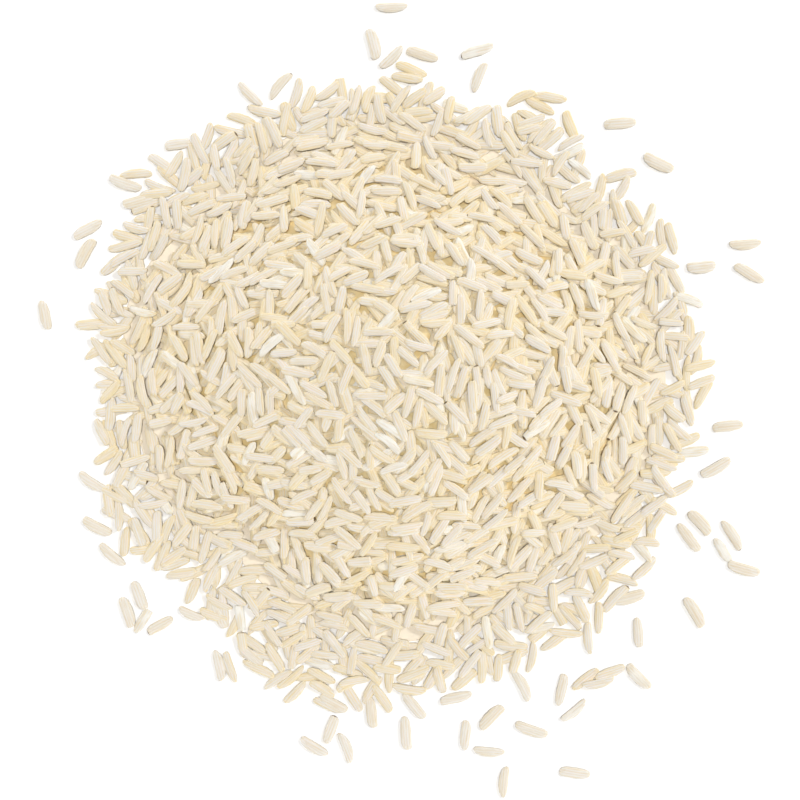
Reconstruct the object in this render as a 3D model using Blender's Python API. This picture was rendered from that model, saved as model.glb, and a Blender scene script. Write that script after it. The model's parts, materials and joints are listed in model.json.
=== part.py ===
"""A small heap of raw long-grain white rice, poured on a flat surface, with the grains that rolled clear of it.

Metres, +Z up. The origin is the middle of the heap's flat underside.
"""

import math
import random

import bmesh
import bpy
import numpy as np
from mathutils import Matrix, Vector
from mathutils.geometry import delaunay_2d_cdt

MM = 0.001

# One milled grain, drawn out along X.
GRAIN_LENGTH = 7.0 * MM
GRAIN_WIDTH = 2.1 * MM
GRAIN_THICKNESS = 1.7 * MM
GRAIN_RINGS = 3
GRAIN_END_FULLNESS = 0.5
GRAIN_BEND = 0.2 * MM
GERM_NOTCH_DEPTH = 0.3 * MM
GERM_NOTCH_START = 0.5
LOOSE_GRAIN_SIDES = 6
FUSED_GRAIN_SIDES = 5

# What a grain needs round it: circles along its line, by share of half its length and of half its width.
ROOM_CIRCLES = ((-0.8, 0.5), (-0.4, 0.92), (0.0, 1.0), (0.4, 0.92), (0.8, 0.5))

# A grain of the bed, as a bump: its outline and its ridge, by share of half its length and of half its width.
BUMP_OUTLINE = ((0.98, 0.0), (0.56, 0.96), (-0.56, 0.96), (-0.98, 0.0), (-0.56, -0.96), (0.56, -0.96))
BUMP_RIDGE = 0.58

# The heap. Radii are in millimetres, at each 15 degrees from +X towards +Y.
HEAP_HEIGHT = 24.5 * MM
HEAP_PROFILE_POWER = 1.4
FOOT_RADII = (
    60.0, 60.0, 60.5, 54.5, 55.5, 57.0, 59.0, 60.0, 59.0, 59.0, 60.0, 61.5,
    58.5, 57.5, 57.0, 51.5, 53.0, 55.5, 57.0, 56.5, 54.5, 54.0, 57.5, 60.0,
)
FOOT_STEPS = 108
FOOT_NOTCH = 2.4 * MM
FOOT_TOOTH = 1.6 * MM
FOOT_THICKNESS = 0.6 * MM
BELOW_FLOOR = 1.5 * MM
GAP_DEPTH = 0.9 * MM
RIDGE_LOWEST = 0.0 * MM
RIDGE_HIGHEST = 0.7 * MM

# Grains: a bed side by side as ridged bumps, a few whole ones lying across it, and whole ones round the foot.
SEED = 11
BED_GRAINS = 392
BED_TRIES = 5000
HEADINGS_TRIED = 12
TOP_GRAINS = 27
TOP_RISE = 0.95 * MM
RIM_GRAINS = 62
SUNK_IN_FLOOR = 0.1 * MM
SHORTEST_GRAIN = 0.84
LONGEST_GRAIN = 1.1
LARGEST_TILT = math.radians(9)
CLEARANCE = 0.35 * MM
CUTTER_SIZE = 0.4

# Grains at the foot that touch the mass: x and y of the middle in mm, heading in degrees.
FOOT_GRAINS = (
    (3.7, 66.6, 155), (2.8, 64.8, 167), (-0.1, 62.9, 140), (-20.7, 61.4, 72), (-11.2, 62.6, 100),
    (-3.2, 60.6, 178), (6.6, 60.8, 72), (-32.0, 56.0, 160), (-39.7, 52.0, 68), (-49.6, 41.6, 160),
    (-47.5, 43.9, 140), (-56.2, 31.0, 165), (-64.0, 12.6, 5), (-62.4, 7.2, 30), (-57.0, -23.4, 134),
    (-54.0, -31.4, 130), (-42.2, -40.0, 22), (-33.6, -50.6, 65), (-26.4, -53.6, 120), (-22.6, -55.4, 97),
    (-17.5, -58.0, 5), (-1.0, -58.6, 87), (12.6, -57.8, 47), (34.0, -52.4, 37), (48.4, -40.4, 166),
    (53.0, -38.2, 42), (52.4, -34.0, 130), (60.4, -22.4, 27), (61.6, -12.2, 20), (54.0, 35.0, 68),
    (56.6, 31.6, 97), (59.6, 22.2, 118), (60.8, 16.4, 108), (39.0, 46.6, 68), (12.4, 58.8, 165),
    (62.0, -3.4, 100), (62.6, 5.1, 75),
)

# Loose grains round the heap: x and y of the middle in mm, heading in degrees, length in mm.
LOOSE_GRAINS = (
    (-0.5, 79.7, 0, 6.8), (-4.3, 72.0, 103, 6.7), (-0.5, 69.2, 45, 6.6), (6.0, 69.8, 163, 7.0),
    (17.6, 70.6, 14, 7.4), (17.9, 65.0, 70, 6.8), (-24.2, 63.3, 52, 7.1), (-30.6, 61.2, 137, 6.9),
    (-45.8, 50.8, 4, 5.6), (-49.0, 46.6, 147, 6.9), (-57.0, 42.3, 162, 7.2), (-53.9, 38.6, 14, 7.2),
    (-64.9, 32.8, 25, 6.9), (-65.5, 27.8, 63, 7.0), (-74.0, 14.6, 98, 6.4), (-63.9, -20.9, 149, 7.0),
    (-58.8, -27.6, 155, 6.6), (-63.0, -30.4, 155, 6.8), (-59.8, -36.3, 142, 7.0), (-56.4, -48.3, 108, 6.8),
    (-54.1, -44.8, 108, 6.4), (-49.6, -51.0, 27, 6.2), (-42.9, -48.8, 160, 6.0), (-37.2, -48.7, 112, 6.8),
    (-37.0, -59.6, 102, 6.7), (-30.6, -57.4, 140, 6.8), (-12.9, -67.8, 153, 6.6), (-13.4, -73.2, 70, 6.2),
    (-17.0, -76.9, 151, 6.8), (-10.2, -77.0, 110, 6.9), (-4.8, -69.5, 92, 6.7), (4.1, -68.3, 128, 6.9),
    (2.5, -73.9, 90, 7.2), (13.1, -66.4, 9, 7.0), (27.1, -63.9, 117, 7.2), (15.1, -74.4, 84, 6.4),
    (20.4, -70.4, 46, 6.8), (29.0, -73.4, 163, 7.3), (20.1, -77.8, 179, 6.7), (23.3, -84.3, 88, 6.7),
    (38.3, -82.3, 173, 6.6), (35.5, -64.8, 78, 6.9), (38.1, -69.2, 40, 6.8), (62.3, -32.6, 125, 7.3),
    (64.8, -29.3, 133, 6.5), (69.5, -35.2, 118, 5.9), (71.6, -32.0, 122, 7.4), (74.0, -39.3, 166, 7.2),
    (63.7, -48.3, 120, 7.3), (49.7, -45.3, 13, 7.2), (51.7, -52.6, 90, 6.4), (51.6, -62.2, 135, 6.9),
    (68.2, -17.8, 29, 7.2), (70.7, -8.9, 2, 6.6), (74.4, 29.5, 2, 6.9), (75.2, 23.4, 148, 7.2),
    (65.1, 24.6, 3, 6.2), (47.9, 55.2, 0, 6.9), (55.9, 46.6, 156, 7.0),
)

RICE_COLOUR = (0.87, 0.77, 0.58, 1.0)
RICE_ROUGHNESS = 0.45


def clear_scene():
    for thing in list(bpy.data.objects):
        bpy.data.objects.remove(thing)


def new_collection(name):
    collection = bpy.data.collections.new(name)
    bpy.context.scene.collection.children.link(collection)
    return collection


def rice_material():
    material = bpy.data.materials.new("milled_rice")
    material.use_nodes = True
    surface = material.node_tree.nodes["Principled BSDF"]
    surface.inputs["Base Color"].default_value = RICE_COLOUR
    surface.inputs["Roughness"].default_value = RICE_ROUGHNESS
    surface.inputs["Metallic"].default_value = 0.0
    return material


def radius_at(radii, angle):
    """The outline's radius at an angle, eased from one listed radius to the next."""
    place = angle / math.tau * len(radii) % len(radii)
    index = int(place)
    share = place - index
    share = share * share * (3 - 2 * share)
    return MM * (radii[index] * (1 - share) + radii[(index + 1) % len(radii)] * share)


def heap_height(x, y):
    """Height of the heap's mass: a rounded top, flanks near rice's angle of repose and a thin foot."""
    share = math.hypot(x, y) / radius_at(FOOT_RADII, math.atan2(y, x))
    return HEAP_HEIGHT * max(0.0, 1 - share * share) ** HEAP_PROFILE_POWER


def gap_height(x, y):
    """Height of the bottom of the gaps between grains."""
    return max(FOOT_THICKNESS, heap_height(x, y) - GAP_DEPTH)


def heap_normal(x, y):
    step = 0.5 * MM
    slope_x = (heap_height(x + step, y) - heap_height(x - step, y)) / (2 * step)
    slope_y = (heap_height(x, y + step) - heap_height(x, y - step)) / (2 * step)
    return Vector((-slope_x, -slope_y, 1)).normalized()


def grain_mesh(name, sides):
    """A long grain: a ball with few sides drawn out along X, flat below, a little bent, cut back at the germ."""
    shape = bmesh.new()
    along_x = Matrix.Rotation(math.radians(90), 4, "Y")
    side_down = Matrix.Rotation(math.pi / sides - math.pi / 2, 4, "X")
    bmesh.ops.create_uvsphere(
        shape, u_segments=sides, v_segments=GRAIN_RINGS + 1, radius=1, matrix=side_down @ along_x
    )
    for vertex in shape.verts:
        along, across, up = vertex.co
        reach = math.hypot(across, up)
        fuller = max(reach, 1e-6) ** (GRAIN_END_FULLNESS - 1)
        vertex.co.x = along * GRAIN_LENGTH / 2
        vertex.co.y = across * fuller * GRAIN_WIDTH / 2 + GRAIN_BEND * (0.4 - along * along)
        vertex.co.z = up * fuller * GRAIN_THICKNESS / 2 / math.cos(math.pi / sides)
        if up < -0.5 * reach and reach > 0.5:
            vertex.co.z = -GRAIN_THICKNESS / 2
        if along > GERM_NOTCH_START and up > 0:
            vertex.co.z -= GERM_NOTCH_DEPTH
    mesh = bpy.data.meshes.new(name)
    shape.to_mesh(mesh)
    shape.free()
    return mesh


def room_circles(x, y, heading, length):
    """Middles and radii of circles that stand for a grain when others are kept clear of it."""
    circles = [
        (x + along * length / 2 * math.cos(heading), y + along * length / 2 * math.sin(heading), full)
        for along, full in ROOM_CIRCLES
    ]
    return np.array(circles) * (1, 1, GRAIN_WIDTH / 2)


def has_room(circles, taken, gap):
    if not len(taken):
        return True
    apart = np.hypot(circles[:, None, 0] - taken[None, :, 0], circles[:, None, 1] - taken[None, :, 1])
    return bool((apart >= circles[:, None, 2] + taken[None, :, 2] + gap).all())


def find_places(draw, taken, gap, count, tries, nearest_share, furthest_share):
    """Draws places for grains between two shares of the foot's radius, each clear of the ones before."""
    places = []
    loose = loose_grain_circles()
    for _ in range(tries):
        if len(places) >= count:
            break
        angle = draw.uniform(0, math.tau)
        radius = radius_at(FOOT_RADII, angle)
        radius *= math.sqrt(draw.uniform(nearest_share**2, furthest_share**2))
        x, y = radius * math.cos(angle), radius * math.sin(angle)
        size = draw.uniform(SHORTEST_GRAIN, LONGEST_GRAIN)
        first = draw.uniform(0, math.pi)
        for turn in range(HEADINGS_TRIED):
            heading = first + turn * math.pi / HEADINGS_TRIED
            circles = room_circles(x, y, heading, GRAIN_LENGTH * size)
            if has_room(circles, taken, gap) and has_room(circles, loose, CLEARANCE):
                taken = np.vstack([taken, circles])
                places.append((x, y, heading, size))
                break
    return places


def loose_grain_circles():
    return np.vstack([
        room_circles(x * MM, y * MM, math.radians(heading), length * MM)
        for x, y, heading, length in LOOSE_GRAINS
    ])


def bump_points(place, tilt, rise):
    """Corners of one bump: six round its outline in the gaps, then the two ends of its ridge."""
    x, y, heading, size = place
    cos_heading, sin_heading = math.cos(heading), math.sin(heading)

    def spot(along, across):
        along *= GRAIN_LENGTH / 2 * size
        across *= GRAIN_WIDTH / 2
        return x + along * cos_heading - across * sin_heading, y + along * sin_heading + across * cos_heading

    corners = []
    for along, across in BUMP_OUTLINE:
        corner = spot(along, across)
        corners.append((*corner, gap_height(*corner)))
    for along in (-BUMP_RIDGE, BUMP_RIDGE):
        end = spot(along, 0)
        height = heap_height(*end) + rise + math.tan(tilt) * along * GRAIN_LENGTH / 2
        corners.append((*end, max(height, FOOT_THICKNESS + GAP_DEPTH)))
    return corners


def heap_mesh(draw, places):
    """The heap as one solid: bumps and gaps on top, a thin wall round the foot, flat below the floor."""
    points = []
    edges = []
    for step in range(FOOT_STEPS):
        angle = step * math.tau / FOOT_STEPS
        radius = radius_at(FOOT_RADII, angle) + draw.uniform(-FOOT_NOTCH, FOOT_TOOTH)
        points.append((radius * math.cos(angle), radius * math.sin(angle), FOOT_THICKNESS))
    for place in places:
        start = len(points)
        rise = draw.uniform(RIDGE_LOWEST, RIDGE_HIGHEST)
        points += bump_points(place, draw.uniform(-LARGEST_TILT, LARGEST_TILT), rise)
        edges += [(start + corner, start + (corner + 1) % 6) for corner in range(6)]
        edges.append((start + 6, start + 7))
    flat = [Vector((x / MM, y / MM)) for x, y, height in points]
    found = delaunay_2d_cdt(flat, edges, [list(range(FOOT_STEPS))], 1, 1e-5, True)
    shape = bmesh.new()
    for spot, sources in zip(found[0], found[3]):
        x, y = spot.x * MM, spot.y * MM
        height = points[sources[0]][2] if sources else gap_height(x, y)
        shape.verts.new((x, y, height))
    shape.verts.ensure_lookup_table()
    for corners, outlines in zip(found[2], found[5]):
        if outlines:
            shape.faces.new([shape.verts[corner] for corner in corners])
    unused = [vertex for vertex in shape.verts if not vertex.link_faces]
    bmesh.ops.delete(shape, geom=unused, context="VERTS")
    rim = [edge for edge in shape.edges if edge.is_boundary]
    below = bmesh.ops.extrude_edge_only(shape, edges=rim)["geom"]
    for vertex in below:
        if isinstance(vertex, bmesh.types.BMVert):
            vertex.co.z = -BELOW_FLOOR
    bmesh.ops.holes_fill(shape, edges=[edge for edge in shape.edges if edge.is_boundary])
    bmesh.ops.recalc_face_normals(shape, faces=shape.faces[:])
    mesh = bpy.data.meshes.new("rice_heap")
    shape.to_mesh(mesh)
    shape.free()
    return mesh


def lay_grain(collection, mesh, place, tilt, rise):
    """A grain on the heap's slope, at a rise above it; with no rise it lies on the floor."""
    x, y, heading, size = place
    normal = heap_normal(x, y) if rise else Vector((0, 0, 1))
    along = Vector((math.cos(heading), math.sin(heading), 0))
    along = (along - normal * along.dot(normal)).normalized()
    along = (along * math.cos(tilt) + normal * math.sin(tilt)).normalized()
    across = normal.cross(along).normalized()
    turn = Matrix((along, across, along.cross(across))).transposed().to_4x4()
    height = heap_height(x, y) + rise if rise else GRAIN_THICKNESS / 2 - SUNK_IN_FLOOR
    grain = bpy.data.objects.new("fused_grain", mesh)
    grain.matrix_world = Matrix.Translation((x, y, height)) @ turn @ Matrix.Diagonal((size, 1, 1, 1))
    collection.objects.link(grain)


def lay_fused_grains(draw, collection, mesh):
    """The whole grains that become one with the heap: across its bed, and round its foot."""
    nothing = np.empty((0, 3))
    for place in find_places(draw, nothing, 2.5 * MM, TOP_GRAINS, BED_TRIES, 0, 0.88):
        lay_grain(collection, mesh, place, draw.uniform(-LARGEST_TILT, LARGEST_TILT), TOP_RISE)
    taken = nothing
    for x, y, heading in FOOT_GRAINS:
        place = (x * MM, y * MM, math.radians(heading), 1.0)
        taken = np.vstack([taken, room_circles(*place[:3], GRAIN_LENGTH)])
        lay_grain(collection, mesh, place, 0, 0)
    for place in find_places(draw, taken, 0.2 * MM, RIM_GRAINS, BED_TRIES, 0.97, 1.06):
        lay_grain(collection, mesh, place, 0, 0)


def apply_modifiers(thing):
    """Replaces the object's mesh by what its modifiers make of it."""
    graph = bpy.context.evaluated_depsgraph_get()
    mesh = bpy.data.meshes.new_from_object(thing.evaluated_get(graph))
    thing.modifiers.clear()
    thing.data = mesh


def keep_largest_island(mesh):
    """Drops scraps that touch nothing, and the skins of sealed hollows, which fills them."""
    shape = bmesh.new()
    shape.from_mesh(mesh)
    left = set(shape.verts)
    largest = set()
    while left:
        island = set()
        reached = [left.pop()]
        while reached:
            vertex = reached.pop()
            island.add(vertex)
            for edge in vertex.link_edges:
                other = edge.other_vert(vertex)
                if other in left:
                    left.remove(other)
                    reached.append(other)
        if len(island) > len(largest):
            largest = island
    scraps = [vertex for vertex in shape.verts if vertex not in largest]
    bmesh.ops.delete(shape, geom=scraps, context="VERTS")
    shape.to_mesh(mesh)
    shape.free()


def floor_cutter(collection):
    """A block under the floor, which leaves the heap a flat underside."""
    shape = bmesh.new()
    place = Matrix.Translation((0, 0, -CUTTER_SIZE / 2))
    bmesh.ops.create_cube(shape, size=CUTTER_SIZE, matrix=place)
    mesh = bpy.data.meshes.new("floor_cutter")
    shape.to_mesh(mesh)
    shape.free()
    cutter = bpy.data.objects.new("floor_cutter", mesh)
    cutter.hide_render = True
    cutter.display_type = "WIRE"
    collection.objects.link(cutter)
    return cutter


def build_heap(collection, cutter, material):
    """One solid: the bed, the whole grains fused to it, cut flat at the floor."""
    draw = random.Random(SEED)
    bed = find_places(draw, np.empty((0, 3)), 0.12 * MM, BED_GRAINS, BED_TRIES, 0, 0.96)
    heap = bpy.data.objects.new("rice_heap", heap_mesh(draw, bed))
    collection.objects.link(heap)
    loose_parts = new_collection("grains_to_fuse")
    lay_fused_grains(draw, loose_parts, grain_mesh("fused_grain", FUSED_GRAIN_SIDES))
    fuse = heap.modifiers.new("fuse_grains", "BOOLEAN")
    fuse.operation = "UNION"
    fuse.operand_type = "COLLECTION"
    fuse.collection = loose_parts
    apply_modifiers(heap)
    for grain in list(loose_parts.objects):
        bpy.data.objects.remove(grain)
    bpy.data.collections.remove(loose_parts)
    cut = heap.modifiers.new("flat_underside", "BOOLEAN")
    cut.operation = "DIFFERENCE"
    cut.solver = "MANIFOLD"
    cut.object = cutter
    apply_modifiers(heap)
    bpy.data.objects.remove(cutter)
    keep_largest_island(heap.data)
    heap.data.materials.clear()
    heap.data.materials.append(material)


def build_loose_grains(collection, material):
    """Each loose grain is its own object, resting on the floor on its flat side."""
    mesh = grain_mesh("loose_grain", LOOSE_GRAIN_SIDES)
    mesh.materials.append(material)
    for number, (x, y, heading, length) in enumerate(LOOSE_GRAINS, start=1):
        grain = bpy.data.objects.new(f"loose_grain_{number:02d}", mesh)
        collection.objects.link(grain)
        grain.location = (x * MM, y * MM, GRAIN_THICKNESS / 2)
        grain.rotation_euler = (0, 0, math.radians(heading))
        grain.scale = (length * MM / GRAIN_LENGTH, 1, 1)


def main():
    clear_scene()
    rice = new_collection("heap_of_rice")
    helpers = new_collection("cutters")
    material = rice_material()
    build_heap(rice, floor_cutter(helpers), material)
    build_loose_grains(rice, material)


main()
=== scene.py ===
"""A heap of raw long-grain white rice seen from straight above, with the grains that rolled clear of it."""

import json
import math

import bmesh
import bpy
import numpy as np
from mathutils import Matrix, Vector

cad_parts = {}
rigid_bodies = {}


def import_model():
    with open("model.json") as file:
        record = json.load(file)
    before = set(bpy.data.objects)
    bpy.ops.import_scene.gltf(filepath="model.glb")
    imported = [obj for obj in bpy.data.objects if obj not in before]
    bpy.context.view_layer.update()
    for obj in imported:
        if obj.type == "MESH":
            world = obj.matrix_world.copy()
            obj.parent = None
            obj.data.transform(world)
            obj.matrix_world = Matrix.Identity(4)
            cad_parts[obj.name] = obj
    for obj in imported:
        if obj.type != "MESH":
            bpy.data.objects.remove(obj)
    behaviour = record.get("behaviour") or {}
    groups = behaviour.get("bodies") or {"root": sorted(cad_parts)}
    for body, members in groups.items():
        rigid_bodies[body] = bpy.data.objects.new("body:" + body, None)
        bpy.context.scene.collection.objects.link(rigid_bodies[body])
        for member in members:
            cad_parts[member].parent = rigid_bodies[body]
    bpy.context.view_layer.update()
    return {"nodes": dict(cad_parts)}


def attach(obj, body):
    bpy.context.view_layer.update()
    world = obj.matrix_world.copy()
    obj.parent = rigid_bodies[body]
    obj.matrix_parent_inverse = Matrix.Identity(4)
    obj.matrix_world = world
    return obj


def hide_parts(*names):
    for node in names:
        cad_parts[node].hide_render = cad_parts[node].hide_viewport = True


MM = 0.001

# The heap's form. Radii are in millimetres, at each 15 degrees from +X towards +Y.
HEAP_HEIGHT = 24.5 * MM
HEAP_PROFILE_POWER = 1.4
FOOT_RADII = (
    60.0, 60.0, 60.5, 54.5, 55.5, 57.0, 59.0, 60.0, 59.0, 59.0, 60.0, 61.5,
    58.5, 57.5, 57.0, 51.5, 53.0, 55.5, 57.0, 56.5, 54.5, 54.0, 57.5, 60.0,
)
RIM_RADII = (
    65.5, 65.5, 63.5, 60.5, 67.0, 60.5, 63.5, 64.5, 64.0, 66.0, 64.5, 65.0,
    61.5, 64.0, 66.0, 61.0, 64.5, 68.5, 66.0, 64.0, 65.5, 65.5, 63.5, 61.5,
)
LAYER_THICK = 1.6 * MM  # the single layer of grains at the foot
THINNING = 0.8  # how many mm lower grains are heaped at the rim than at the foot
RIM_BAND = 0.9  # from this share of the way to the rim they run out fast
RIM_FALL = 3  # by this many mm for each whole way past it

# The core under the showing grains.
CORE_DEPTH = 3.6 * MM  # how far it lies under the heap's surface
CORE_SEGMENTS = 96
CORE_RINGS = 64
CORE_REACH = 0.96  # its share of the foot's radius
CORE_EDGE = 0.3 * MM
CORE_BUMP = 0.25 * MM

# One grain of the usual size, and how it is modelled.
GRAIN_LENGTH = 7.0 * MM
GRAIN_WIDTH = 2.1 * MM
GRAIN_THICKNESS = 1.7 * MM
RINGS = 6
SIDES = 8
RING_REACH = 0.02  # points this near a ring's place belong to it
BEND_CENTRE = 0.35  # sets how much of a bent grain lies on either side of its line
END_START = 0.5  # the share of half its length from which an end is moved aside
CORNER_BAND = 0.14
CORNER_LENGTH = 0.44
CORNER_SWELL = (1, 1.07, 1.1)

# How the heap is laid, grain by grain, over a map of its height.
SEED = 23
MAP_HALF = 80 * MM
MAP_CELL = 0.35 * MM
GRAINS_TRIED = 7200
HOLES_FILLED = 4200
PLACES_TRIED = 12
AREA_TRIED = 1.05  # as a share of the area within the rim
TURNS_TRIED = 16  # for each hole
HOLE_ASIDE = 0.8 * MM  # how far from a hole's middle a grain may lie
PROUD = 1.5 * MM  # a grain's top may stand this far over the heap's surface
HOLE_PROUD = 0.4 * MM  # and this much further over a hole
BARE_MARGIN = 0.5 * MM
LIE_SPREAD = 0.6  # how far, in radians, a grain's heading strays from its neighbours'
NESTING = 0.5  # the share of its thickness by which a grain lifts the next one
TILT_COST = 0.9  # mm for a slope of one
CHANCE_COST = 0.3  # mm
FLOOR_GAP = 0.01 * MM  # no grain reaches lower than this

# The part of a grain that is set against the map, in steps along it and lines across it.
HALF_STEPS = 10
STEP_SHARE = 0.1
LINES_ACROSS = 7
LINES_REACH = 0.86
OUTLINE_POWER = 5  # the higher it is, the blunter the ends
OFF_THE_GRAIN = -9  # far below anything that lies there

# Sizes as shares of the usual ones: the middle and spread of the draw, and its limits.
LENGTH_DRAW = (0.985, 0.07)
LENGTH_LIMITS = (0.8, 1.12)
WIDTH_DRAW = (0.99, 0.06)
WIDTH_LIMITS = (0.86, 1.12)
LOOSE_WIDTHS = (0.98, 1.14)

# How grains are rolled on their long axis, in radians, and sorted by their tones, which also hold painted
# depth shade.
ROLL_SPREAD = 0.22
LOOSE_ROLL_SPREAD = 0.1
BEDDED = 1.5 * MM  # a grain whose middle is lower lies flat on the floor
CHALKY_FROM = 0.3
WARM_FROM = 0.45
CHALKY_SHARE = 0.07
# Painted shade: deeper grains get more of the warmer colour, this much for each mm of depth
DEPTH_SHADE_WARMTH = 0.34  # for each mm of depth

# Grains of the foot that lie apart from their neighbours: x, y in mm and heading in degrees.
FOOT_GRAINS = (
    (3.7, 66.6, 155), (2.8, 64.8, 167), (-0.1, 62.9, 140), (-20.7, 61.4, 72), (-11.2, 62.6, 100),
    (-3.2, 60.6, 178), (6.6, 60.8, 72), (-32.0, 56.0, 160), (-39.7, 52.0, 68), (-49.6, 41.6, 160),
    (-47.5, 43.9, 140), (-56.2, 31.0, 165), (-64.0, 12.6, 5), (-62.4, 7.2, 30), (-57.0, -23.4, 134),
    (-54.0, -31.4, 130), (-42.2, -40.0, 22), (-33.6, -50.6, 65), (-26.4, -53.6, 120), (-22.6, -55.4, 97),
    (-17.5, -62.0, 5), (-1.0, -62.0, 87), (12.6, -59.8, 47), (34.0, -54.4, 37), (48.4, -41.4, 166),
    (53.0, -39.2, 42), (52.4, -35.0, 130), (60.4, -22.4, 27), (61.6, -12.2, 20), (54.0, 35.0, 68),
    (56.6, 31.6, 97), (59.6, 22.2, 118), (60.8, 16.4, 108), (39.0, 46.6, 68), (12.4, 58.8, 165),
    (62.0, -3.4, 100), (64.0, 5.1, 75), (47.9, 44.3, 15), (48.1, 41.0, 58), (58.7, 30.8, 108),
    (37.3, 54.5, 112), (33.2, 60.7, 168), (30.9, 58.9, 155), (26.8, 60.6, 25), (41.1, -53.8, 95),
    (40.5, -62.5, 38), (45.7, -61.1, 17), (43.2, -63.2, 12), (-24.6, -62.5, 33), (-8.8, -66.4, 122),
    (-34.8, -60.0, 110), (-53.0, -49.7, 58), (-54.7, 44.5, 5), (65.3, -2.3, 60), (63.3, -14.4, 5),
)

# Colours of the finish in the heap, and those that the loose grains have instead. The heap's warmer and
# streak colours are deeper, as they also carry its painted shade; the loose grains' set is paler, partly
# painted light for how a lone grain looks on the white floor.
HEAP_COLOURS = {
    "Glassy": (0.782, 0.758, 0.712, 1),
    # the warmer colour: the grain's own warm tone, and painted shade at its sides, tips and depth
    "Warm_and_shade": (0.842, 0.728, 0.455, 1),
    "Blush": (0.816, 0.758, 0.722, 1),
    "Chalk": (0.86, 0.845, 0.79, 1),
    # the streak colour: real streaks along the grain, and painted shade in the grooves between its ridges
    "Streak_and_groove_shade": (0.775, 0.625, 0.36, 1),
    "Speck": (0.16, 0.1, 0.05, 1),
}
LOOSE_COLOURS = {
    "Glassy": (0.808, 0.786, 0.735, 1),
    "Warm_and_shade": (0.8, 0.725, 0.575, 1),
    "Blush": (0.83, 0.788, 0.75, 1),
    "Streak_and_groove_shade": (0.74, 0.63, 0.46, 1),
}
# Painted shade: the core's colours stand for the shade deep between the grains, dark golden there and paler
# at the foot.
CORE_SHADE_DARK = (0.82, 0.64, 0.3, 1)
CORE_SHADE_LIGHT = (0.91, 0.76, 0.44, 1)
CORE_SHADE_FOOT = (0.86, 0.785, 0.65, 1)
FLOOR_WHITE = (0.96, 0.96, 0.96, 1)
SKY_WHITE = (1.0, 0.985, 0.965, 1)

# Light and view. Each sun has its strength, its width in degrees and the way towards it.
SUNS = {
    "overhead": (2.07, 3, (0.0, 0.0, 1.0)),
    "key": (0.92, 5, (0.5, 0.24, 1.0)),
}
HORIZON_LIGHT = 1.5
ZENITH_LIGHT = 0.1
FLOOR_SIDE = 6
PICTURE_SIDE = 800  # pixels
PIXEL = 0.212  # mm at the floor
CAMERA_HEIGHT = 0.8
SENSOR = 36
VIEW_CENTRE = (1.27 * MM, -3.39 * MM)


def deselect_all():
    for thing in bpy.context.view_layer.objects.selected:
        thing.select_set(False)


def radius_at(radii, angle):
    """The outline's radius at an angle, eased from one listed radius to the next. Takes arrays too."""
    place = np.mod(angle / math.tau * len(radii), len(radii))
    index = np.floor(place).astype(int) % len(radii)
    share = place - np.floor(place)
    share = share * share * (3 - 2 * share)
    listed = np.array(radii) * MM
    return listed[index] * (1 - share) + listed[(index + 1) % len(radii)] * share


def heap_height(x, y):
    """Height of the heap's surface, and nothing past its foot."""
    radius = np.hypot(x, y)
    foot = radius_at(FOOT_RADII, np.arctan2(y, x))
    return HEAP_HEIGHT * np.maximum(0, 1 - (radius / foot) ** 2) ** HEAP_PROFILE_POWER


def fill_height(x, y):
    """How high grains are heaped: one layer at the foot, and fewer and fewer from there to the rim."""
    angle = np.arctan2(y, x)
    foot = radius_at(FOOT_RADII, angle)
    rim = radius_at(RIM_RADII, angle)
    outside = np.maximum(0, (np.hypot(x, y) - foot) / np.maximum(rim - foot, 1e-6))
    past_band = np.maximum(0, outside - RIM_BAND)
    return np.maximum(heap_height(x, y), LAYER_THICK) - (THINNING * outside + RIM_FALL * past_band) * MM


# The grains' shapes, each modelled once.


def select_points(mesh, wanted):
    """Selects, in edit mode, the points whose place is wanted."""
    shape = bmesh.from_edit_mesh(mesh)
    for vertex in shape.verts:
        vertex.select_set(wanted(vertex.co))
    shape.select_flush(True)
    bmesh.update_edit_mesh(mesh)


def on_a_corner(point):
    """Whether a grain's point is on one of the four long corners of its section, away from its ends."""
    off_corner = abs(abs(point.y) / GRAIN_WIDTH - abs(point.z) / GRAIN_THICKNESS)
    return off_corner < CORNER_BAND and abs(point.x) < GRAIN_LENGTH * CORNER_LENGTH


def model_grain(name, profile, bend, tips=(1.0, -1.0), aside=(0.0, 0.0)):
    """A grain along X, shaped from a ball. Its profile gives each ring's place, width, thickness and lift.

    These are shares of half the grain's size. The bend curves its line, and aside moves its two ends.
    """
    deselect_all()
    bpy.ops.mesh.primitive_uv_sphere_add(
        segments=SIDES, ring_count=RINGS + 1, radius=1, location=(0, 0, 0), rotation=(0, math.radians(90), 0)
    )
    grain = bpy.context.object
    grain.name = name
    bpy.ops.object.transform_apply(location=True, rotation=True, scale=True)
    rings = [math.cos(math.pi * (number + 1) / (RINGS + 1)) for number in range(RINGS)]
    steps = [(ring, *step) for ring, step in zip(rings, profile)]
    steps += [(side, tip, 1, 1, 0) for side, tip in zip((1.0, -1.0), tips)]
    bpy.ops.object.mode_set(mode="EDIT")
    for ring, along, width, thick, lift in steps:
        select_points(grain.data, lambda point: abs(point.x - ring) < RING_REACH)
        girth = math.sqrt(max(1e-6, 1 - ring * ring))
        sizes = (1, width * GRAIN_WIDTH / 2 / girth, thick * GRAIN_THICKNESS / 2 / girth)
        bpy.ops.transform.resize(value=sizes, center_override=(ring, 0, 0))
        end_share = max(0.0, abs(along) - END_START) / (1 - END_START)
        end_aside = aside[0] if along > 0 else aside[1]
        across = bend * (BEND_CENTRE - along * along) + end_aside * end_share
        shift = (along * GRAIN_LENGTH / 2 - ring, across, lift * GRAIN_THICKNESS / 2)
        bpy.ops.transform.translate(value=shift)
    select_points(grain.data, on_a_corner)
    bpy.ops.transform.resize(value=CORNER_SWELL, center_override=(0, 0, 0))
    bpy.ops.object.mode_set(mode="OBJECT")
    return grain


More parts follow.
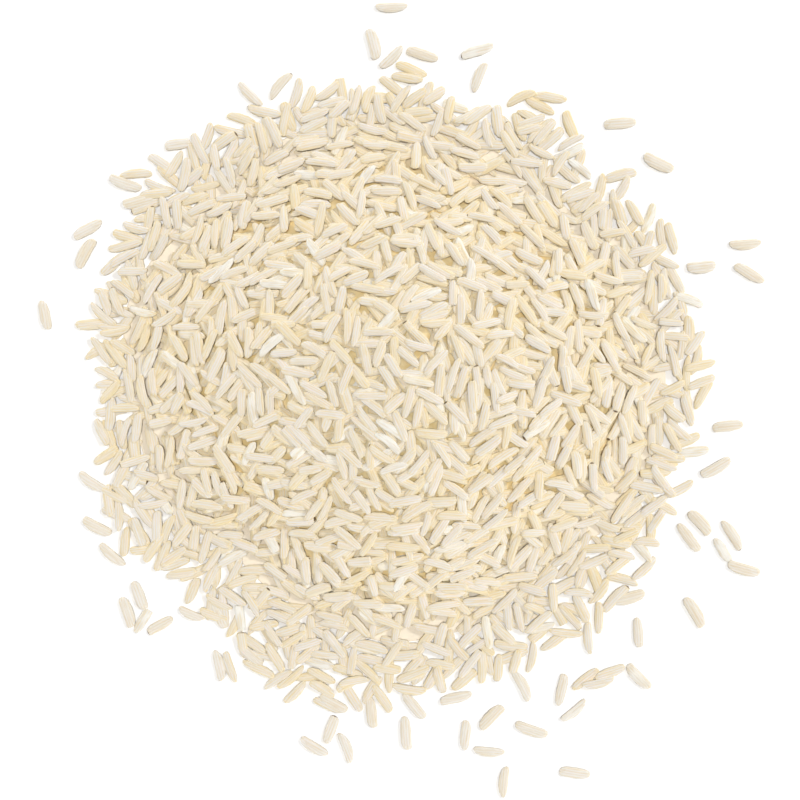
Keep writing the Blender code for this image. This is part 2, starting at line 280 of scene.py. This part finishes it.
def grain_shapes():
    """The kinds of grain: whole, slender, plump, curved, one cut back at the germ, and a broken one."""
    whole = ((0.95, 0.5, 0.52, 0), (0.8, 0.82, 0.84, 0), (0.36, 1.0, 1.0, 0),
             (-0.2, 1.0, 1.0, 0), (-0.7, 0.8, 0.84, 0), (-0.94, 0.4, 0.46, 0))
    slender = ((0.95, 0.42, 0.48, 0), (0.78, 0.74, 0.82, 0), (0.32, 0.93, 0.98, 0),
               (-0.24, 0.94, 0.98, 0), (-0.7, 0.72, 0.82, 0), (-0.94, 0.34, 0.44, 0))
    plump = ((0.95, 0.6, 0.58, 0), (0.82, 0.88, 0.86, 0), (0.38, 1.08, 1.04, 0),
             (-0.22, 1.1, 1.06, 0), (-0.72, 0.94, 0.9, 0), (-0.93, 0.58, 0.56, 0))
    notched = ((0.97, 0.5, 0.42, -0.4), (0.87, 0.82, 0.68, -0.2), (0.58, 0.97, 0.98, 0),
               (-0.12, 1.03, 1.02, 0), (-0.7, 0.84, 0.84, 0), (-0.93, 0.5, 0.5, 0))
    snapped = ((0.6, 0.86, 0.82, 0), (0.56, 0.97, 0.95, 0), (0.3, 1.0, 1.0, 0),
               (-0.2, 1.0, 1.0, 0), (-0.72, 0.84, 0.84, 0), (-0.93, 0.5, 0.5, 0))
    return [
        model_grain("whole_grain", whole, 0.1 * MM, aside=(0.38 * MM, -0.2 * MM)),
        model_grain("slender_grain", slender, 0.3 * MM, aside=(-0.15 * MM, 0.0)),
        model_grain("plump_grain", plump, 0.05 * MM, aside=(-0.36 * MM, -0.25 * MM)),
        model_grain("curved_grain", slender, 0.62 * MM),
        model_grain("notched_grain", notched, 0.2 * MM, aside=(0.4 * MM, 0.1 * MM)),
        model_grain("snapped_grain", snapped, 0.1 * MM, tips=(0.62, -1.0)),
    ]


# How often each of the shapes is drawn. The last one is the broken grain.
SHAPE_SHARES = (0.3, 0.24, 0.08, 0.17, 0.16, 0.05)
SNAPPED = 5


# Laying grains.


class HeightMap:
    """The height of what lies there so far, on a square grid, and where a grain comes to rest on it."""

    def __init__(self):
        count = int(2 * MAP_HALF / MAP_CELL)
        steps = (np.arange(count) + 0.5) * MAP_CELL - MAP_HALF
        x, y = np.meshgrid(steps, steps, indexing="ij")
        self.grid = (x, y)
        self.height = np.maximum(0.0, heap_height(x, y) - CORE_DEPTH)
        half = (np.arange(HALF_STEPS) + 0.5) * STEP_SHARE
        self.along = np.concatenate([-half[::-1], half])
        self.across = np.linspace(-LINES_REACH, LINES_REACH, LINES_ACROSS)
        girth = (1 - np.abs(self.along) ** OUTLINE_POWER) ** 0.5
        outline = np.abs(self.across)[None, :] / girth[:, None]
        self.half_thick = np.where(outline < 1, np.sqrt(np.maximum(0, 1 - outline**2)) * girth[:, None], -1)

    def cells(self, x, y, heading, length, width):
        """Grid cells under grains, as arrays of grain by step along by line across."""
        cos_heading = np.cos(heading)[:, None, None]
        sin_heading = np.sin(heading)[:, None, None]
        along = self.along[None, :, None] * length[:, None, None] / 2
        across = self.across[None, None, :] * width[:, None, None] / 2
        cell_x = (x[:, None, None] + along * cos_heading - across * sin_heading + MAP_HALF) / MAP_CELL
        cell_y = (y[:, None, None] + along * sin_heading + across * cos_heading + MAP_HALF) / MAP_CELL
        top = len(self.height) - 1
        return np.clip(cell_x.astype(int), 0, top), np.clip(cell_y.astype(int), 0, top)

    def rest(self, x, y, heading, length, width, thickness):
        """Height of each grain's middle and its slope when it rests on a point either side of its middle."""
        cell_x, cell_y = self.cells(x, y, heading, length, width)
        lift = np.where(self.half_thick > 0, self.half_thick * NESTING, OFF_THE_GRAIN)
        needed = (self.height[cell_x, cell_y] + lift[None] * thickness[:, None, None] / 2).max(2)
        steps = self.along[None, :] * length[:, None] / 2
        left, right = needed[:, :HALF_STEPS, None], needed[:, None, HALF_STEPS:]
        at_left, at_right = steps[:, :HALF_STEPS, None], steps[:, None, HALF_STEPS:]
        middle = (left * at_right - right * at_left) / (at_right - at_left)
        best = middle.reshape(len(x), -1).argmax(1)
        first, second = best // HALF_STEPS, best % HALF_STEPS
        row = np.arange(len(x))
        rise = needed[row, HALF_STEPS + second] - needed[row, first]
        run = steps[row, HALF_STEPS + second] - steps[row, first]
        return np.maximum(middle[row, first, second], thickness / 2), rise / run

    def add(self, x, y, heading, length, width, thickness, middle, slope):
        """Raises the map to the top of one grain."""
        one = [np.array([value]) for value in (x, y, heading, length, width)]
        cell_x, cell_y = self.cells(*one)
        steps = self.along[:, None] * length / 2
        top = middle + slope * steps + np.maximum(self.half_thick, 0) * NESTING * thickness / 2
        top = np.where(self.half_thick > 0, top, 0)
        np.maximum.at(self.height, (cell_x[0], cell_y[0]), top)


def lie_of_grains(x, y):
    """The way that neighbouring grains tend to point, which drifts over the heap in two crossing waves."""
    sway = 1.3 * np.sin(y / (11 * MM))
    across = 2.2 * np.sin(x / (7 * MM) + sway)
    slanting = 1.8 * np.sin(y / (6 * MM) - x / (15 * MM) + 2)
    return across + slanting


def draw_sizes(draw):
    """One grain's length and width, as shares of the usual ones."""
    length = np.clip(draw.normal(*LENGTH_DRAW), *LENGTH_LIMITS)
    width = np.clip(draw.normal(*WIDTH_DRAW), *WIDTH_LIMITS)
    return length, width


def lay_grain(draw, heights, laid, x, y, heading, long_share, wide_share, proud):
    """Lays one grain at the lowest of the places given for it, unless it would stand too proud there."""
    usual = (GRAIN_LENGTH * long_share, GRAIN_WIDTH * wide_share, GRAIN_THICKNESS * wide_share)
    sizes = [np.full(len(x), size) for size in usual]
    middle, slope = heights.rest(x, y, heading, *sizes)
    over = middle + sizes[2] / 2 - fill_height(x, y)
    cost = np.abs(slope) * TILT_COST * MM + draw.normal(0, CHANCE_COST * MM, len(x))
    best = int((over + cost).argmin())
    if over[best] > proud:
        return
    place = (x[best], y[best], heading[best])
    heights.add(*place, *usual, middle[best], slope[best])
    laid.append((*place, long_share, wide_share, middle[best], slope[best]))


def lay_heap(draw, heights):
    """Lays the heap's grains one by one: the foot's, then the mass, then more where holes are left.

    Each laid grain has its x, y and heading, its shares of length and width, its height and its slope.
    """
    laid = []
    for x, y, heading in FOOT_GRAINS:
        place = [np.array([value]) for value in (x * MM, y * MM, math.radians(heading))]
        lay_grain(draw, heights, laid, *place, 1.0, 1.0, math.inf)
    for _ in range(GRAINS_TRIED):
        angle = draw.uniform(0, math.tau, PLACES_TRIED)
        radius = np.sqrt(draw.uniform(0, AREA_TRIED, PLACES_TRIED)) * radius_at(RIM_RADII, angle)
        x, y = radius * np.cos(angle), radius * np.sin(angle)
        heading = lie_of_grains(x, y) + draw.normal(0, LIE_SPREAD, PLACES_TRIED)
        lay_grain(draw, heights, laid, x, y, heading, *draw_sizes(draw), PROUD)
    target = fill_height(*heights.grid)
    target[np.hypot(*heights.grid) > radius_at(RIM_RADII, np.arctan2(*heights.grid[::-1]))] = -1
    for _ in range(HOLES_FILLED):
        bare = (heights.height == 0) & (target > LAYER_THICK - BARE_MARGIN)
        depth = target - heights.height + bare * CORE_DEPTH
        column, row = np.unravel_index(depth.argmax(), target.shape)
        target[max(0, column - 1):column + 2, max(0, row - 1):row + 2] = -1
        x, y = (np.array([column, row]) + 0.5) * MAP_CELL - MAP_HALF
        aside = draw.uniform(-HOLE_ASIDE, HOLE_ASIDE, (2, TURNS_TRIED))
        heading = np.linspace(0, math.pi, TURNS_TRIED) + draw.uniform(0, 1)
        place = (x + aside[0], y + aside[1], heading)
        lay_grain(draw, heights, laid, *place, *draw_sizes(draw), PROUD + HOLE_PROUD)
    return np.array(laid)


def loose_grain_places(solids):
    """Where each loose grain lies: the middle, heading and share of the usual length of its solid."""
    places = {}
    for name, solid in solids.items():
        if not name.startswith("loose_grain"):
            continue
        points = np.array([vertex.co[:] for vertex in solid.data.vertices])
        low, high = points.min(0), points.max(0)
        middle = (low + high) / 2
        flat = points[:, :2] - (low + high)[:2] / 2
        furthest = flat[np.hypot(flat[:, 0], flat[:, 1]).argmax()]
        heading = math.atan2(furthest[1], furthest[0])
        spread = flat @ np.array((math.cos(heading), math.sin(heading)))
        places[name] = (middle[0], middle[1], heading, (spread.max() - spread.min()) / GRAIN_LENGTH)
    return places


def placing(grains, rolls):
    """Each grain's three axes, scaled, and its middle."""
    heading, slope = grains[:, 2], np.arctan(grains[:, 6])
    along = np.stack([np.cos(heading) * np.cos(slope), np.sin(heading) * np.cos(slope), np.sin(slope)], 1)
    level = np.stack([-np.sin(heading), np.cos(heading), np.zeros(len(grains))], 1)
    upright = np.cross(along, level)
    turn_cos, turn_sin = np.cos(rolls)[:, None], np.sin(rolls)[:, None]
    across = level * turn_cos + upright * turn_sin
    up = upright * turn_cos - level * turn_sin
    axes = np.stack([along * grains[:, 3:4], across * grains[:, 4:5], up * grains[:, 4:5]], 2)
    return axes, grains[:, [0, 1, 5]]


def join_grains(name, shapes, kinds, grains, rolls, tones):
    """One mesh of many grains. Each point keeps its place on its grain and its grain's tone, painted depth
    shade included.
    """
    axes, middles = placing(grains, rolls)
    points, places, tone_values, corners, sizes = [], [], [], [], []
    start = 0
    half = np.array((GRAIN_LENGTH / 2, GRAIN_WIDTH / 2, GRAIN_THICKNESS / 2))
    for kind, shape in enumerate(shapes):
        members = np.flatnonzero(kinds == kind)
        if not len(members):
            continue
        local = np.array([vertex.co[:] for vertex in shape.data.vertices])
        faces = [list(face.vertices) for face in shape.data.polygons]
        flat_faces = np.concatenate(faces)
        face_sizes = np.array([len(face) for face in faces])
        world = np.einsum("gij,vj->gvi", axes[members], local) + middles[members][:, None, :]
        sunk = np.maximum(0, FLOOR_GAP - world[:, :, 2].min(1))
        world[:, :, 2] += sunk[:, None]
        points.append(world.reshape(-1, 3))
        places.append(np.tile(local / half, (len(members), 1)))
        tone_values.append(np.repeat(tones[members], len(local), axis=0))
        offsets = start + np.arange(len(members)) * len(local)
        corners.append((flat_faces[None, :] + offsets[:, None]).ravel())
        sizes.append(np.tile(face_sizes, len(members)))
        start += len(members) * len(local)
    points, corners, sizes = np.concatenate(points), np.concatenate(corners), np.concatenate(sizes)
    mesh = bpy.data.meshes.new(name)
    mesh.vertices.add(len(points))
    mesh.vertices.foreach_set("co", points.astype(np.float32).ravel())
    mesh.loops.add(len(corners))
    mesh.loops.foreach_set("vertex_index", corners.astype(np.int32))
    mesh.polygons.add(len(sizes))
    mesh.polygons.foreach_set("loop_start", (np.cumsum(sizes) - sizes).astype(np.int32))
    mesh.polygons.foreach_set("use_smooth", np.ones(len(sizes), bool))
    mesh.update(calc_edges=True)
    place = mesh.attributes.new("grain_place", "FLOAT_VECTOR", "POINT")
    place.data.foreach_set("vector", np.concatenate(places).astype(np.float32).ravel())
    tone = mesh.attributes.new("grain_tone_and_depth_shade", "FLOAT_COLOR", "POINT")
    tone.data.foreach_set("color", np.concatenate(tone_values).astype(np.float32).ravel())
    mesh.validate()
    piece = bpy.data.objects.new(name, mesh)
    bpy.context.scene.collection.objects.link(piece)
    return piece


# Finishes.


def new_group(name, inputs, outputs):
    group = bpy.data.node_groups.new(name, "ShaderNodeTree")
    for socket, kind, value in inputs:
        made = group.interface.new_socket(socket, in_out="INPUT", socket_type=kind)
        made.default_value = value
    for socket, kind in outputs:
        group.interface.new_socket(socket, in_out="OUTPUT", socket_type=kind)
    return group, group.nodes.new("NodeGroupInput"), group.nodes.new("NodeGroupOutput")


class Wiring:
    """Short ways to add and join shader nodes in one tree."""

    def __init__(self, tree):
        self.tree = tree

    def node(self, kind, **settings):
        made = self.tree.nodes.new(kind)
        for setting, value in settings.items():
            setattr(made, setting, value)
        return made

    def join(self, source, target):
        self.tree.links.new(source, target)

    def put(self, socket, value):
        if isinstance(value, bpy.types.NodeSocket):
            self.join(value, socket)
        else:
            socket.default_value = value

    def maths(self, operation, *values):
        made = self.node("ShaderNodeMath", operation=operation)
        for socket, value in zip(made.inputs, values):
            self.put(socket, value)
        return made.outputs[0]

    def times(self, first, second):
        return self.maths("MULTIPLY", first, second)

    def plus(self, first, second):
        return self.maths("ADD", first, second)

    def ramp(self, value, low, high, to_low=0.0, to_high=1.0):
        """Eases from one output to the other while the value goes from low to high."""
        made = self.node("ShaderNodeMapRange", interpolation_type="SMOOTHSTEP")
        for socket, given in zip(made.inputs, (value, low, high, to_low, to_high)):
            self.put(socket, given)
        return made.outputs[0]

    def blend(self, share, first, second):
        """The first colour where the share is 0, and the second where it is 1."""
        made = self.node("ShaderNodeMix", data_type="RGBA", blend_type="MIX")
        for socket, given in zip((made.inputs[0], made.inputs[6], made.inputs[7]), (share, first, second)):
            self.put(socket, given)
        return made.outputs[2]

    def split(self, vector):
        """The three parts of a vector."""
        made = self.node("ShaderNodeSeparateXYZ")
        self.join(vector, made.inputs[0])
        return made.outputs

    def noise(self, vector, own, scale, detail):
        """Noise over a grain, unlike the next grain's because of its own number."""
        made = self.node("ShaderNodeTexNoise", noise_dimensions="4D")
        self.join(vector, made.inputs["Vector"])
        self.join(own, made.inputs["W"])
        made.inputs["Scale"].default_value = scale
        made.inputs["Detail"].default_value = detail
        return made.outputs[0]


def new_material(name):
    """A material, its shader and the wiring of its tree."""
    material = bpy.data.materials.new(name)
    material.use_nodes = True
    return material, material.node_tree.nodes["Principled BSDF"], Wiring(material.node_tree)


def rice_finish():
    """Milled rice: pale and glassy, with fine streaks and ridges along it, and painted shade: its sides and
    tips warmer, the grooves between the ridges streak-coloured, deeper grains warmer.
    """
    inputs = [(name, "NodeSocketColor", colour) for name, colour in HEAP_COLOURS.items()]
    outputs = [("Colour", "NodeSocketColor"), ("Roughness", "NodeSocketFloat"), ("Height", "NodeSocketFloat")]
    group, given, result = new_group("milled_rice_finish", inputs, outputs)
    wire = Wiring(group)
    place = wire.node("ShaderNodeAttribute", attribute_name="grain_place").outputs["Vector"]
    tone = wire.node("ShaderNodeAttribute", attribute_name="grain_tone_and_depth_shade").outputs["Color"]
    along, across, _ = wire.split(place)
    split_tone = wire.node("ShaderNodeSeparateColor")
    wire.join(tone, split_tone.inputs[0])
    # the tone's first part is the grain's own warm tone with painted depth shade added
    warmth_and_depth_shade, chalk, own = split_tone.outputs

    stretched = wire.node("ShaderNodeVectorMath", operation="MULTIPLY")
    wire.join(place, stretched.inputs[0])
    stretched.inputs[1].default_value = (0.4, 2.8, 2.8)
    streak = wire.noise(stretched.outputs[0], wire.times(own, 60.0), 1.6, 3.0)
    cloud = wire.noise(place, wire.times(own, 37.0), 1.1, 1.0)
    ridges = wire.maths("COSINE", wire.times(across, 13.0))

    # Painted shade: the sides and tips of each grain are given the warmer colour, and the blush is kept off
    # them.
    at_side = wire.ramp(wire.maths("ABSOLUTE", across), 0.45, 1.0)
    at_end = wire.ramp(wire.maths("ABSOLUTE", along), 0.72, 1.0)
    side_and_tip_shade = wire.maths("MAXIMUM", at_side, at_end)
    warm_share = wire.plus(wire.times(warmth_and_depth_shade, 0.6), wire.times(side_and_tip_shade, 0.4))
    warm_share = wire.plus(warm_share, wire.ramp(streak, 0.45, 0.7, 0.0, 0.5))
    warm_share = wire.ramp(warm_share, 0.0, 1.3)
    blush_share = wire.times(wire.ramp(cloud, 0.42, 0.68), wire.maths("SUBTRACT", 1.0, side_and_tip_shade))
    # Painted shade: the grooves between the ridges along each grain take the streak colour, besides their
    # bump. The lines mix this with the real streaks.
    groove_shade = wire.times(wire.ramp(ridges, 0.0, -1.0), 0.42)
    lines = wire.plus(wire.times(wire.ramp(streak, 0.5, 0.62), 0.3), groove_shade)
    belly = wire.times(wire.ramp(cloud, 0.35, 0.6), chalk)
    dark_tip = wire.times(wire.ramp(along, 0.92, 0.97), wire.maths("GREATER_THAN", own, 0.93))

    colour = wire.blend(wire.times(blush_share, 0.7), given.outputs["Glassy"], given.outputs["Blush"])
    colour = wire.blend(warm_share, colour, given.outputs["Warm_and_shade"])
    colour = wire.blend(lines, colour, given.outputs["Streak_and_groove_shade"])
    colour = wire.blend(belly, colour, given.outputs["Chalk"])
    colour = wire.blend(dark_tip, colour, given.outputs["Speck"])
    wire.join(colour, result.inputs["Colour"])
    wire.join(wire.ramp(streak, 0.3, 0.7, 0.4, 0.56), result.inputs["Roughness"])
    wire.join(wire.plus(wire.times(ridges, 0.3), streak), result.inputs["Height"])
    return group


def rice_material(name, finish, **colours):
    """The finish on a shader that lets a little light through the grain."""
    material, shader, wire = new_material(name)
    look = wire.node("ShaderNodeGroup", node_tree=finish)
    for socket, colour in colours.items():
        look.inputs[socket].default_value = colour
    wire.join(look.outputs["Colour"], shader.inputs["Base Color"])
    wire.join(look.outputs["Roughness"], shader.inputs["Roughness"])
    bump = wire.node("ShaderNodeBump")
    bump.inputs["Strength"].default_value = 1.0
    bump.inputs["Distance"].default_value = 0.09 * MM
    wire.join(look.outputs["Height"], bump.inputs["Height"])
    wire.join(bump.outputs[0], shader.inputs["Normal"])
    shader.inputs["Specular IOR Level"].default_value = 0.35
    shader.inputs["Diffuse Roughness"].default_value = 1.0
    shader.inputs["Subsurface Weight"].default_value = 0.04
    shader.inputs["Subsurface Radius"].default_value = (1.0, 0.75, 0.45)
    shader.inputs["Subsurface Scale"].default_value = 0.6 * MM
    return material


def core_material():
    """Painted shade for the rice deep between the grains: dark golden with specks, paler at the heap's foot.
    """
    material, shader, wire = new_material("painted_shade_in_the_depth")
    where = wire.node("ShaderNodeTexCoord").outputs["Object"]
    specks = wire.node("ShaderNodeTexNoise")
    wire.join(where, specks.inputs["Vector"])
    specks.inputs["Scale"].default_value = 420.0
    specks.inputs["Detail"].default_value = 3.0
    deep = wire.blend(wire.ramp(specks.outputs[0], 0.35, 0.65), CORE_SHADE_DARK, CORE_SHADE_LIGHT)
    # the painted shade fades to the paler colour low down at the foot
    over_foot = wire.ramp(wire.split(where)[2], 0.5 * MM, 4 * MM)
    wire.join(wire.blend(over_foot, CORE_SHADE_FOOT, deep), shader.inputs["Base Color"])
    bump = wire.node("ShaderNodeBump")
    bump.inputs["Distance"].default_value = 0.4 * MM
    wire.join(specks.outputs[0], bump.inputs["Height"])
    wire.join(bump.outputs[0], shader.inputs["Normal"])
    shader.inputs["Roughness"].default_value = 0.7
    return material


# The pieces.


def make_core():
    """The mass under the showing grains: a ball pressed to the heap's form, a little below its surface."""
    deselect_all()
    bpy.ops.mesh.primitive_uv_sphere_add(
        segments=CORE_SEGMENTS, ring_count=CORE_RINGS, radius=1, location=(0, 0, 0)
    )
    core = bpy.context.object
    core.name = "rice_core"
    points = np.array([vertex.co[:] for vertex in core.data.vertices])
    angle = np.arctan2(points[:, 1], points[:, 0])
    ball_radius = np.minimum(1, np.hypot(points[:, 0], points[:, 1]))
    radius = ball_radius * radius_at(FOOT_RADII, angle) * CORE_REACH
    x, y = radius * np.cos(angle), radius * np.sin(angle)
    bumps = CORE_BUMP * np.sin(x * 2900) * np.sin(y * 2600 + x * 700)
    top = np.maximum(CORE_EDGE, heap_height(x, y) - CORE_DEPTH + bumps)
    z = np.where(points[:, 2] > 1e-4, top, 0.0)
    core.data.vertices.foreach_set("co", np.stack([x, y, z], 1).astype(np.float32).ravel())
    core.data.update()
    bpy.ops.object.shade_smooth()
    return core


def draw_tones(draw, depth):
    """Each grain's warm tone with painted depth shade added, its chalkiness and its own number, from 0 to 1.
    Deeper ones are made warmer as painted shade.
    """
    count = len(depth)
    warmth_and_depth_shade = draw.beta(1.6, 3.0, count) + DEPTH_SHADE_WARMTH * np.clip(depth / MM + 0.5, 0, 2.6)
    is_chalky = draw.uniform(0, 1, count) < CHALKY_SHARE
    chalk = np.where(is_chalky, draw.uniform(0.5, 1, count), draw.uniform(0, 0.12, count))
    return np.stack([np.clip(warmth_and_depth_shade, 0, 1), chalk, draw.uniform(0, 1, count), np.ones(count)], 1)


def make_heap_grains(draw, shapes):
    """The heap's grains, joined in one piece for each finish."""
    grains = lay_heap(draw, HeightMap())
    count = len(grains)
    kinds = draw.choice(len(shapes), count, p=SHAPE_SHARES)
    off_the_floor = grains[:, 5] > BEDDED
    rolls = draw.normal(0, ROLL_SPREAD, count) * off_the_floor + math.pi * draw.integers(0, 2, count)
    # painted shade: how far each grain lies under the heap's surface makes it warmer
    depth = fill_height(grains[:, 0], grains[:, 1]) - grains[:, 5]
    tones = draw_tones(draw, np.where(off_the_floor, depth, 0))
    snapped = kinds == SNAPPED
    chalky = tones[:, 1] > CHALKY_FROM
    # grains whose tone, painted depth shade included, is past the mark take the warmer finish
    warm = tones[:, 0] > WARM_FROM
    groups = {
        "snapped_grains": snapped & ~chalky,
        "chalky_grains": chalky,
        "warm_and_depth_shaded_grains": ~snapped & ~chalky & warm,
        "glassy_grains": ~snapped & ~chalky & ~warm,
    }
    return {
        name: join_grains(name, shapes, kinds[members], grains[members], rolls[members], tones[members])
        for name, members in groups.items()
    }


def make_loose_grains(draw, shapes, places):
    """The grains that lie clear of the heap, each at its solid's place. None of them is a broken one."""
    count = len(places)
    grains = np.array([(*place, draw.uniform(*LOOSE_WIDTHS), GRAIN_THICKNESS / 2, 0.0) for place in places])
    kinds = draw.choice(SNAPPED, count)
    tones = draw_tones(draw, np.zeros(count))
    rolls = draw.normal(0, LOOSE_ROLL_SPREAD, count)
    return join_grains("loose_grains", shapes, kinds, grains, rolls, tones)


def make_rice(solids):
    draw = np.random.default_rng(SEED)
    shapes = grain_shapes()
    pieces = make_heap_grains(draw, shapes)
    nodes = loose_grain_places(solids)
    pieces["loose_grains"] = make_loose_grains(draw, shapes, nodes.values())
    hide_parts(*nodes)
    for shape in shapes:
        bpy.data.objects.remove(shape)
    return pieces


def set_stage():
    """A white floor, suns overhead and at the upper right, and a sky that is brightest low down."""
    deselect_all()
    bpy.ops.mesh.primitive_plane_add(size=FLOOR_SIDE, location=(0, 0, 0))
    floor = bpy.context.object
    floor.name = "floor"
    material, shader, _ = new_material("white_floor")
    shader.inputs["Base Color"].default_value = FLOOR_WHITE
    shader.inputs["Roughness"].default_value = 0.9
    shader.inputs["Specular IOR Level"].default_value = 0.1
    floor.data.materials.append(material)

    for name, (strength, spread, towards) in SUNS.items():
        light = bpy.data.lights.new(name, "SUN")
        light.energy = strength
        light.angle = math.radians(spread)
        sun = bpy.data.objects.new(name, light)
        sun.rotation_euler = Vector(towards).to_track_quat("Z", "Y").to_euler()
        bpy.context.scene.collection.objects.link(sun)

    world = bpy.data.worlds.new("bright_studio")
    world.use_nodes = True
    background = world.node_tree.nodes["Background"]
    background.inputs["Color"].default_value = SKY_WHITE
    wire = Wiring(world.node_tree)
    height = wire.split(wire.node("ShaderNodeTexCoord").outputs["Generated"])[2]
    wire.join(wire.ramp(height, 0.05, 0.5, HORIZON_LIGHT, ZENITH_LIGHT), background.inputs["Strength"])
    bpy.context.scene.world = world


def set_camera():
    """Straight down with a long lens, square to the floor."""
    lens = bpy.data.cameras.new("camera")
    lens.sensor_width = SENSOR
    lens.lens = SENSOR * CAMERA_HEIGHT / (PICTURE_SIDE * PIXEL * MM)
    camera = bpy.data.objects.new("camera", lens)
    camera.location = (*VIEW_CENTRE, CAMERA_HEIGHT)
    camera.rotation_euler = (0, 0, 0)
    bpy.context.scene.collection.objects.link(camera)
    bpy.context.scene.camera = camera
    bpy.context.scene.view_settings.view_transform = "Standard"
    bpy.context.scene.cycles.diffuse_bounces = 8


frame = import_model()

pieces = make_rice(frame["nodes"])
finish = rice_finish()
materials = {
    "glassy_grains": rice_material("glassy_rice", finish),
    "warm_and_depth_shaded_grains": rice_material("warm_and_depth_shaded_rice", finish),
    "chalky_grains": rice_material("chalky_rice", finish),
    "snapped_grains": rice_material("snapped_rice", finish),
    "loose_grains": rice_material("loose_rice", finish, **LOOSE_COLOURS),
}
core = make_core()
core.data.materials.append(core_material())
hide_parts("rice_heap")
for name, piece in pieces.items():
    piece.data.materials.append(materials[name])
for piece in (*pieces.values(), core):
    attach(piece, "root")

set_stage()
set_camera()
